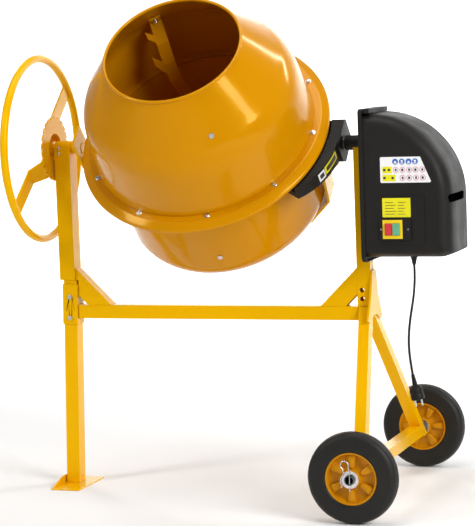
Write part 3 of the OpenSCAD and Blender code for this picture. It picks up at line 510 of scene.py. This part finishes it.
def guard_patch(a0, a1, s0, s1, lift):
    """A thin curved sheet on the guard's outer wall, in the drum's frame; angles in degrees."""
    gap = 0.0002
    verts, faces = [], []
    steps = 10
    for depth in (0.0, lift):
        for i in range(steps + 1):
            a = a0 + (a1 - a0) * i / steps
            r = guard_outer(a) + gap + depth
            for s in (s0, s1):
                verts.append((r * math.cos(math.radians(a)), r * math.sin(math.radians(a)), s))
    n = 2 * (steps + 1)
    for i in range(steps):
        k = 2 * i
        faces += [(k, k + 1, k + 3, k + 2), (n + k, n + k + 2, n + k + 3, n + k + 1),
                  (k, k + 2, n + k + 2, n + k), (k + 1, n + k + 1, n + k + 3, k + 3)]
    faces += [(0, n, n + 1, 1), (n - 2, n - 1, 2 * n - 1, 2 * n - 2)]
    return verts, faces


def guard_sticker():
    sheet, ink = 0.0004, 0.0007
    make("sticker_white", *guard_patch(-22.6, -18.7, 0.004, 0.034, sheet), "label_white", "yoke", ON_DRUM)
    make("sticker_yellow", *guard_patch(-18.4, -9.0, 0.008, 0.036, sheet), "label_yellow", "yoke", ON_DRUM)
    marks = [(*guard_patch(-17.4, -10.0, 0.014, 0.030, ink), None),
             (*guard_patch(-21.8, -19.4, 0.011, 0.027, ink), None)]
    make("sticker_marks", *join(marks), "label_ink", "yoke", ON_DRUM)


guard_sticker()


def bearing_screws():
    """Two screws on the front of the left post, beside its bearing."""
    post_front = -0.0248
    parts = []
    for z in (1.002, 0.986):
        parts.append((*dome_head(0.0042, 0.0032, 0.0060), at(POST_X + DX, post_front, z) @ TO_FRONT))
    make("bearing_screws", *join(parts), "zinc_steel", "stand", None, 40)


bearing_screws()


# ------------------------------------------------------------------ handwheel
def handwheel():
    plane, radius, bar, steps = -0.526, 0.2655, 0.0115, 160
    circle = [(plane, y, z) for y, z in arc(0, 0, radius, 0, 360, steps)[:steps]]
    ring = make("handwheel_rim", *tube(circle, bar, 28, True), "frame_paint", "handwheel", ON_DRUM, 0)
    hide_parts("handwheel_ring")


handwheel()


# ------------------------------------------------------------------ road wheels
def road_wheel(side, name, body):
    """A tyre and a moulded rim; their profiles are (radius, height) from the wheel's middle plane."""
    outward = Matrix.Rotation(math.radians(90 if side < 0 else -90), 4, "X")
    place = at(WHEEL_X + DX, side * WHEEL_Y, WHEEL_R) @ outward
    half = 0.0285
    profile = [(0.0705, half - 0.0062), (0.0722, half - 0.0026), (0.0760, half - 0.0004), (0.0800, half)]
    profile += [(0.088, half - 0.0002), (0.096, half - 0.0012)]
    profile += arc(0.1035, half - 0.0205, 0.0202, 78, 6, 10)
    profile += [(0.1243, 0.0052), (0.1226, 0.0046), (0.1226, 0.0030), (0.1248, 0.0022)]
    profile += [(r, -z) for r, z in profile[::-1]]
    profile += [(0.0700, -half + 0.007), (0.0700, half - 0.007)]
    tyre = make(name + "_tyre_body", *revolve(profile, 144), "tyre_rubber", body, place, 38)
    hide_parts(name + "_tyre")
    lip = half - 0.0048
    rim_profile = [(0.0709, -lip), (0.0709, lip - 0.001), (0.0716, lip + 0.0008), (0.0700, lip + 0.0022),
                   (0.0672, lip + 0.0012), (0.0662, lip - 0.003), (0.0640, 0.0100), (0.0600, 0.0055),
                   (0.0540, 0.0040), (0.0360, 0.0040), (0.0300, 0.0070), (0.0262, 0.0160), (0.0248, 0.0288),
                   (0.0236, 0.0300), (0.01405, 0.0300)]
    rim_profile += [(r, -z) for r, z in rim_profile[::-1]]
    parts = [(*revolve(rim_profile, 120), None)]
    paddles, first = 6, 28
    for i in range(paddles):
        for flip, stagger in ((0, 0), (180, 180 / paddles)):
            angle = 360 / paddles * i + first + stagger
            turn = Matrix.Rotation(math.radians(angle), 4, "Z") @ Matrix.Rotation(math.radians(flip), 4, "X")
            parts.append((*rim_paddle(), turn))
    rim = make(name + "_rim_body", *join(parts), "rim_paint", body, place, 34)
    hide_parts(name + "_rim")


def rim_paddle():
    """One raised pad of the moulded rim, from hub to lip, with rounded shoulders."""
    web = 0.0030
    rows = []
    for r, w, h in ((0.0252, 0.0052, 0.0120), (0.0300, 0.0066, 0.0175), (0.0400, 0.0088, 0.0185),
                    (0.0500, 0.0108, 0.0185), (0.0590, 0.0126, 0.0178), (0.0652, 0.0134, 0.0150)):
        shoulder = [(1.0, 0.0), (0.98, 0.55), (0.82, 0.88), (0.5, 1.0)]
        across = [(-t, k) for t, k in shoulder] + [(0.0, 1.03)] + shoulder[::-1]
        rows.append([(r, t * w, web + (h - web) * k) for t, k in across])
    n = len(rows[0])
    verts = [p for row in rows for p in row]
    faces = []
    for i in range(len(rows) - 1):
        for k in range(n - 1):
            faces.append((i * n + k, i * n + k + 1, (i + 1) * n + k + 1, (i + 1) * n + k))
        faces.append((i * n + n - 1, i * n, (i + 1) * n, (i + 1) * n + n - 1))
    faces.append(tuple(range(n)))
    faces.append(tuple((len(rows) - 1) * n + k for k in range(n - 1, -1, -1)))
    return verts, faces


road_wheel(-1, "front", "front_wheel")
road_wheel(1, "rear", "rear_wheel")


def wheel_clips():
    """A wire clip through each end of the axle: one straight leg, a loop on top and a wavy leg."""
    wire, loop, clip_y = 0.00165, 0.0110, 0.428
    parts = []
    for side in (-1, 1):
        x, y, z = WHEEL_X + DX, side * clip_y, WHEEL_R
        path = [(x, y, z - 0.031), (x, y, z + 0.018), (x - 0.001, y, z + 0.026)]
        path += [(cx, y, cz) for cx, cz in arc(x - 0.0135, z + 0.040, loop, -10, 235, 14)]
        path += [(x - 0.0170, y, z + 0.0245), (x - 0.0155, y, z + 0.0205), (x - 0.0185, y, z + 0.0135),
                 (x - 0.0245, y, z + 0.0030), (x - 0.0250, y, z - 0.0070), (x - 0.0205, y, z - 0.0165),
                 (x - 0.0245, y, z - 0.0215)]
        parts.append((*tube(path, wire, 12), None))
    clip = make("wire_clips", *join(parts), "zinc_steel", "stand", None, 50)
    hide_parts("axle_clips")


wheel_clips()


# ------------------------------------------------------------------ motor cover
COVER_LEFT, COVER_RIGHT = 0.4801, 0.731


def cover_outline(inset):
    """The outline in X and Z, counter-clockwise from the lower left, a given distance inside the edge."""
    bottom_end, side_start, crown_z, crown = 0.690, 0.725, 0.850, 0.234
    low = COVER_LOW + min(inset, 0.5 * inset + 0.004)
    pts = [(COVER_LEFT + (bottom_end - COVER_LEFT) * k / 8, low) for k in range(9)]
    pts += [(0.700, low + 0.0008), (0.710, low + 0.0036), (0.722 - inset * 0.5, low + 0.0075),
            (0.7285 - inset * 0.9, low + 0.0106), (COVER_RIGHT - inset, low + 0.0155)]
    pts += [(COVER_RIGHT - inset, side_start + (crown_z - side_start) * k / 5) for k in range(5)]
    pts += arc(COVER_RIGHT - crown, crown_z, crown - inset, 0, 90, 24)
    pts.append((COVER_LEFT, crown_z + crown - inset))
    return pts


def motor_cover():
    """The moulding, its edge rounded towards the front, with a grip slot and an opening for the switch."""
    rows = [(COVER_BACK, 0.004), (COVER_BACK - 0.001, 0.0018), (COVER_BACK - 0.003, 0.0), (-0.040, 0.0),
            (-0.070, 0.0006), (-0.086, 0.0028), (-0.097, 0.0068), (-0.1055, 0.0125), (-0.1115, 0.0190),
            (-0.1150, 0.0262), (-0.1166, 0.0325), (COVER_FRONT, 0.0375)]
    verts, faces = [], []
    loops = [(y, cover_outline(i)) for y, i in rows]
    n = len(loops[0][1])
    for y, loop in loops:
        verts += [(x + DX, y, z) for x, z in loop]
    for i in range(len(loops) - 1):
        for k in range(n - 1):
            faces.append((i * n + k, i * n + k + 1, (i + 1) * n + k + 1, (i + 1) * n + k))
    faces.append(tuple((len(loops) - 1) * n + k for k in range(n)))
    faces.append(tuple(range(n)))
    cover = make("cover_moulding", verts, faces, "box_plastic", "stand", None, 40)
    solid = cover.modifiers.new("wall", "SOLIDIFY")
    solid.thickness, solid.offset = 0.0032, -1
    solid.use_even_offset = False
    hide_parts("motor_cover")
    apply_modifier(cover, solid)
    grip_z, grip_r = 0.847, 0.0115
    grip = arc(0.041, grip_z, grip_r, 90, -90, 12) + arc(-0.090, grip_z, grip_r, 270, 90, 12)
    v, f = prism(grip, -0.06, 0.06)
    boolean(cover, [(z + COVER_RIGHT + DX, x, y) for x, y, z in v], f)
    v, f = box_shape((0.5355 + DX, -0.125, 0.7385), (0.6155 + DX, -0.100, 0.7895))
    boolean(cover, v, f)


motor_cover()


def cover_details():
    """Three raised lines round the lower label and the switch."""
    parts = []
    y0, y1 = COVER_FRONT - 0.0012, COVER_FRONT + 0.001
    for a, b in (((0.528, 0.8560), (0.660, 0.8572)), ((0.6590, 0.722), (0.6602, 0.8572)),
                 ((0.528, 0.7208), (0.660, 0.7220))):
        parts.append((*box_shape((a[0] + DX, y0, a[1]), (b[0] + DX, y1, b[1])), None))
    make("cover_border", *join(parts), "box_plastic", "stand", None, 30, 0.0004)


cover_details()


SHEET = 0.0004


def flat_shape(outline, y):
    """A thin flat piece on the cover's front, its outline in X (from the drum axis) and Z, in millimetres."""
    v, f = prism([(x / 1000 + DX, z / 1000) for x, z in outline], 0, SHEET)
    return [(x, y - z, h) for x, h, z in v], f


def rounded(x0, z0, x1, z1, r, slant=0.0):
    """A rectangle with rounded corners; slant moves the upper right corner to the left."""
    pts = arc(x1 - r, z0 + r, r, -90, 0, 4) + arc(x1 - r - slant, z1 - r, r, 0, 90, 4)
    return pts + arc(x0 + r, z1 - r, r, 90, 180, 4) + arc(x0 + r, z0 + r, r, 180, 270, 4)


def disc(x, z, r, n=28):
    return arc(x, z, r, 0, 360 - 360 / n, n - 1)


def ring_shape(x, z, r, w, y, n=28):
    """A thin flat ring of outer radius r and width w, placed like flat_shape."""
    outer, inner = disc(x, z, r, n), disc(x, z, r - w, n)
    verts, faces = [], []
    for depth in (0, SHEET):
        for loop in (outer, inner):
            verts += [(a / 1000 + DX, y - depth, b / 1000) for a, b in loop]
    back_out, back_in, front_out, front_in = 0, n, 2 * n, 3 * n
    for k in range(n):
        m = (k + 1) % n
        faces += [(back_out + k, back_out + m, front_out + m, front_out + k),
                  (back_in + m, back_in + k, front_in + k, front_in + m),
                  (front_out + k, front_out + m, front_in + m, front_in + k),
                  (back_out + m, back_out + k, back_in + k, back_in + m)]
    return verts, faces


def labels():
    """Generic label shapes in millimetres: discs, rings, panels and bars on two sheets, with no text."""
    y = COVER_FRONT
    make("label_sheet", *flat_shape(rounded(537, 893, 679, 964, 4, 27), y), "label_white", "stand")
    layer = y - SHEET
    top = layer - SHEET
    blue, pink, yellow, ink, pale = [], [], [], [], []
    for k, x in enumerate((580, 599, 618, 636)):
        blue.append((*flat_shape(disc(x, 951, 8.2), layer), None))
        pale.append((*flat_shape(disc(x, 951 + (1.6 if k % 2 else -1.2), 3.2, 16), top), None))
        pale.append((*flat_shape(rounded(x - 4.2, 945.6, x + 4.2, 948.2, 0.9), top), None))
    for z, xs in ((928.5, (581, 600, 619, 637, 656)), (906.5, (600, 619, 638, 657))):
        for k, x in enumerate(xs):
            pink.append((*ring_shape(x, z, 8.0, 1.5, layer), None))
            ink.append((*flat_shape(rounded(x - 2.4 - (k % 2), z - 3.6, x + 2.6, z + 3.4, 1.4), layer), None))
    for z, x1 in ((928.5, 570), (906.5, 580)):
        yellow.append((*flat_shape(rounded(543, z - 9, x1, z + 9, 1.5), layer), None))
        for x in (549, x1 - 8):
            ink.append((*flat_shape(rounded(x - 3.4, z - 3.2, x + 3.4, z + 3.2, 1.2), top), None))
    yellow.append((*flat_shape(rounded(540, 798, 620, 851, 2), y), None))
    for k in range(5):
        z = 838 - 8 * k
        ink.append((*flat_shape(rounded(548, z, 571 + (k * 7) % 12, z + 1.4, 0.5), layer), None))
        ink.append((*flat_shape(rounded(584, z, 606 - (k * 5) % 9, z + 1.4, 0.5), layer), None))
    make("label_discs", *join(blue), "label_blue", "stand")
    make("label_rings", *join(pink), "label_pink", "stand")
    make("label_panels", *join(yellow), "label_yellow", "stand")
    make("label_marks", *join(ink), "label_ink", "stand")
    make("label_glyphs", *join(pale), "label_white", "stand")


labels()


# ------------------------------------------------------------------ stage and light
def stage():
    """A white floor that bends up into a wall far behind the mixer."""
    size, wall, bend, top = 22.0, 15.0, 4.0, 16.0
    profile = [(-size, 0.0)] + arc(wall - bend, bend, bend, -90, 0, 9) + [(wall, top)]
    verts, faces = [], []
    for y, z in profile:
        verts += [(-size, y, z), (size, y, z)]
    for i in range(len(profile) - 1):
        faces.append((2 * i, 2 * i + 1, 2 * i + 3, 2 * i + 2))
    me = bpy.data.meshes.new("backdrop")
    me.from_pydata(verts, [], faces)
    for p in me.polygons:
        p.use_smooth = True
    m, tree, s = new_material("backdrop")
    tree.links.new(grey(tree, noise(tree, 0.6, 2), 0.86, 0.88), s.inputs["Base Color"])
    s.inputs["Roughness"].default_value = 0.9
    s.inputs["Specular IOR Level"].default_value = 0.1
    me.materials.append(m)
    ob = bpy.data.objects.new("backdrop", me)
    scene.collection.objects.link(ob)


def area(name, place, target, size, power, colour=(1, 1, 1)):
    data = bpy.data.lights.new(name, "AREA")
    data.shape = "RECTANGLE"
    data.size, data.size_y = size
    data.energy = power
    data.color = colour
    ob = bpy.data.objects.new(name, data)
    ob.location = place
    ob.rotation_euler = (Vector(target) - Vector(place)).to_track_quat("-Z", "Y").to_euler()
    scene.collection.objects.link(ob)


def ambient(strength):
    world = bpy.data.worlds.new("world")
    scene.world = world
    world.use_nodes = True
    background = world.node_tree.nodes["Background"]
    background.inputs["Color"].default_value = (1, 1, 1, 1)
    background.inputs["Strength"].default_value = strength


stage()
ambient(0.2)
area("key", (4.4, -3.0, 3.0), (0, 0, 0.8), (2.4, 2.4), 225, (1, 0.995, 0.98))
area("fill", (-3.6, -3.4, 3.2), (0, 0, 0.9), (1.2, 2.6), 95, (0.99, 0.995, 1))
area("top_light", (0.2, -0.4, 4.4), (0, 0.1, 1.0), (2.6, 2.0), 60)
for name, y, z, aim, power in (("floor", 4.5, 5.0, (9.0, 0.6), 460), ("wall", 9.0, 6.0, (14.5, 1.4), 560)):
    for side, x in (("left", -1), ("right", 1)):
        area(f"{name}_{side}", (4.5 * x, y, z), (1.5 * x, *aim), (3.0, 3.0), power)
scene.view_settings.view_transform = "Standard"
scene.view_settings.look = "None"
